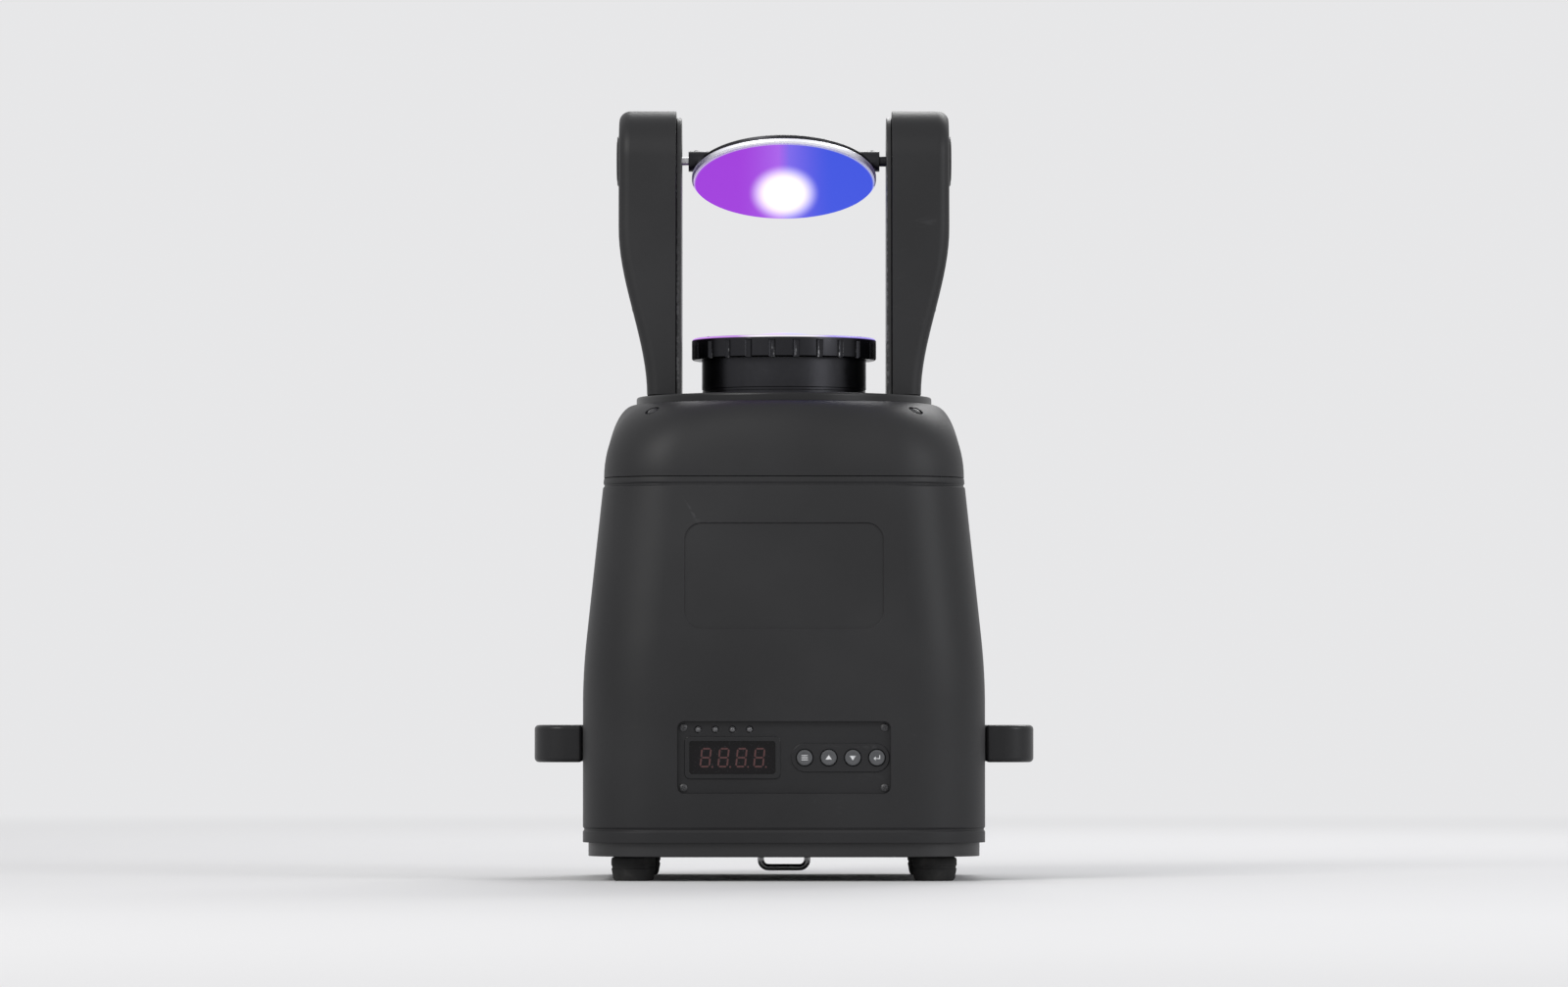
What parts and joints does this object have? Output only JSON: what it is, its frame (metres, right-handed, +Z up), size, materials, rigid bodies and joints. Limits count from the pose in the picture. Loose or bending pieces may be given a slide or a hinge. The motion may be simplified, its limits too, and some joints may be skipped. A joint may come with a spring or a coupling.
{
  "type": "led scanner light",
  "caption": "Upright stage scanner: a lamp tower with colour and pattern wheels throws its beam up through a lens to a round mirror on a turning yoke.",
  "frame": {"origin": "on the floor under the middle of the tower, between the four feet", "axes": "+Z up along the beam's way to the mirror; -Y is the front, towards which the mirror throws the beam at rest; +X to the right seen from the front"},
  "size_m": [0.2946, 0.236, 0.4575],
  "materials": {
    "housing": "moulded black ABS with a fine sparked texture",
    "painted_metal": "black powder coat",
    "rubber": "soft black rubber",
    "sheet_metal": "zinc-plated sheet steel",
    "aluminium": "bare extruded aluminium",
    "black_aluminium": "black anodised aluminium",
    "steel": "bright steel",
    "bearing": "polished bearing steel",
    "motor": "black motor casings",
    "circuit_board": "green solder mask",
    "glass": "clear coated glass",
    "filters": "dichroic colour filters",
    "mirror": "front-silvered glass",
    "screen": "smoked display window",
    "button": "dark grey moulded keys",
    "connector": "black nylon connector bodies",
    "brass": "machined brass",
    "emitter": "phosphor under clear silicone"
  },
  "bodies": {
    "tower": {"base_tray": "painted_metal", "colour_motor": "motor", "condenser_holder": "black_aluminium", "condenser_lens": "glass", "connector_plate": "painted_metal", "control_panel": "housing", "display_window": "screen", "dmx_in": "connector", "dmx_out": "connector", "fan_frame": "housing", "focus_motor": "motor", "foot_front_left": "rubber", "foot_front_right": "rubber", "foot_rear_left": "rubber", "foot_rear_right": "rubber", "frame_left": "sheet_metal", "frame_right": "sheet_metal", "front_lens": "glass", "front_shell": "housing", "gobo_motor": "motor", "guide_rod": "steel", "handle_left": "housing", "handle_right": "housing", "head_plate": "sheet_metal", "heat_sink": "aluminium", "lamp_plate": "sheet_metal", "led_module": "emitter", "lens_barrel": "black_aluminium", "lens_bezel": "black_aluminium", "main_board": "circuit_board", "pan_bearing": "bearing", "pan_motor": "motor", "power_inlet": "connector", "power_outlet": "connector", "power_supply": "sheet_metal", "rear_shell": "housing", "shoulder_cover": "housing", "wheel_plate": "sheet_metal"},
    "head": {"turntable": "housing", "yoke_left": "painted_metal", "yoke_right": "painted_metal", "yoke_cover_left": "housing", "yoke_cover_right": "housing", "tilt_motor": "motor"},
    "mirror": {"mirror_glass": "mirror", "mirror_carrier": "black_aluminium", "tilt_shaft": "steel"},
    "pinion": {"pan_pinion": "brass"},
    "colour": {"colour_wheel": "filters"},
    "gobo": {"gobo_wheel": "steel"},
    "fan": {"fan_rotor": "housing"},
    "focus": {"focus_carriage": "black_aluminium", "focus_lens": "glass"},
    "screw": {"focus_screw": "steel"},
    "menu_key": {"button_menu": "button"},
    "up_key": {"button_up": "button"},
    "down_key": {"button_down": "button"},
    "enter_key": {"button_enter": "button"},
    "drawer": {"fuse_drawer": "connector"},
    "release": {"dmx_release_tab": "steel"}
  },
  "joints": [
    {"name": "pan", "type": "hinge", "parent": "tower", "child": "head", "pos_m": [0, 0, 0.2863], "axis": [0, 0, 1], "range_deg": [-180, 180]},
    {"name": "pan_drive", "type": "hinge", "parent": "tower", "child": "pinion", "pos_m": [0.04732, 0.06758, 0.2636], "axis": [0, 0, 1], "range_deg": [-820, 820]},
    {"name": "tilt", "type": "hinge", "parent": "head", "child": "mirror", "pos_m": [0, 0, 0.42747], "axis": [-1, 0, 0], "range_deg": [-5.6, 44.4]},
    {"name": "colour_spin", "type": "hinge", "parent": "tower", "child": "colour", "pos_m": [0, 0.046, 0.1554], "axis": [0, 0, 1], "continuous": true},
    {"name": "gobo_spin", "type": "hinge", "parent": "tower", "child": "gobo", "pos_m": [0, -0.046, 0.169], "axis": [0, 0, 1], "continuous": true},
    {"name": "fan_spin", "type": "hinge", "parent": "tower", "child": "fan", "pos_m": [0, 0, 0.0171], "axis": [0, 0, 1], "continuous": true},
    {"name": "focus_slide", "type": "slide", "parent": "tower", "child": "focus", "axis": [0, 0, 1], "range_m": [0, 0.018]},
    {"name": "focus_turn", "type": "hinge", "parent": "tower", "child": "screw", "pos_m": [0, -0.056, 0.2277], "axis": [0, 0, 1], "range_deg": [-5, 815]},
    {"name": "menu_press", "type": "slide", "parent": "tower", "child": "menu_key", "axis": [0, 1, 0], "range_m": [0, 0.001], "stiffness_N_per_m": 300},
    {"name": "up_press", "type": "slide", "parent": "tower", "child": "up_key", "axis": [0, 1, 0], "range_m": [0, 0.001], "stiffness_N_per_m": 300},
    {"name": "down_press", "type": "slide", "parent": "tower", "child": "down_key", "axis": [0, 1, 0], "range_m": [0, 0.001], "stiffness_N_per_m": 300},
    {"name": "enter_press", "type": "slide", "parent": "tower", "child": "enter_key", "axis": [0, 1, 0], "range_m": [0, 0.001], "stiffness_N_per_m": 300},
    {"name": "fuse_drawer_pull", "type": "slide", "parent": "tower", "child": "drawer", "axis": [0, 1, 0], "range_m": [0, 0.014]},
    {"name": "dmx_release_press", "type": "slide", "parent": "tower", "child": "release", "axis": [0, -1, 0], "range_m": [0, 0.001], "stiffness_N_per_m": 300}
  ],
  "couplings": [
    {"joint": "pan_drive", "follows": "pan", "ratio": -4.5},
    {"joint": "focus_turn", "follows": "focus_slide", "rad_per_m": 785.4}
  ]
}
